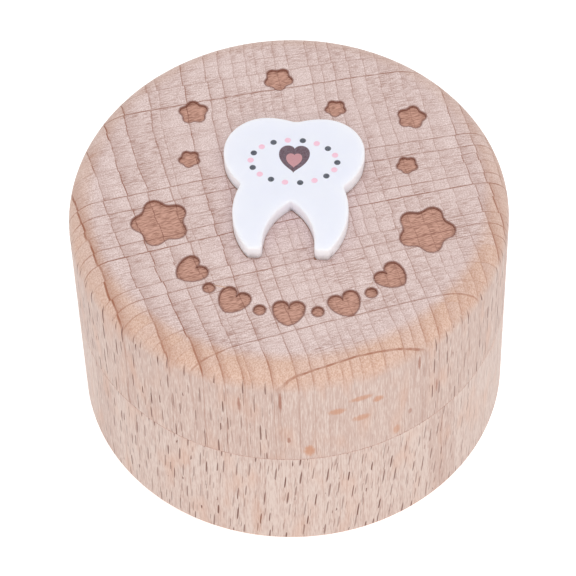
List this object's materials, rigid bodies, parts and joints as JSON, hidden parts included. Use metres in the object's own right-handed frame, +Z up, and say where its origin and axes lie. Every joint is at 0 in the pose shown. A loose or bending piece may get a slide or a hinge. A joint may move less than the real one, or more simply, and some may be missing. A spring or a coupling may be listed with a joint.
{
  "type": "keepsake box",
  "caption": "Small round turned-wood keepsake box for milk teeth: a hollow cup with a push-on lid that carries a glued moulded tooth and shallow engraved ornament.",
  "frame": {"origin": "centre of the base's underside, on the table", "axes": "+Z up along the turning axis, out through the lid; +Y towards the top of the tooth ornament, -Y towards the viewer"},
  "size_m": [0.05, 0.05, 0.0349],
  "materials": {
    "base_beech": "sanded raw beech, side grain",
    "lid_beech": "sanded raw beech, end grain on top, laser engraved",
    "moulded_resin": "satin white moulded resin with a small flat print",
    "glue": "dried clear glue over wood"
  },
  "bodies": {
    "base": {"base": "base_beech"},
    "lid": {"lid": "lid_beech", "tooth_plaque": "moulded_resin", "glue_film": "glue"}
  },
  "joints": [
    {"name": "lid_lift", "type": "slide", "parent": "base", "child": "lid", "axis": [0, 0, 1], "range_m": [0, 0.045]}
  ]
}
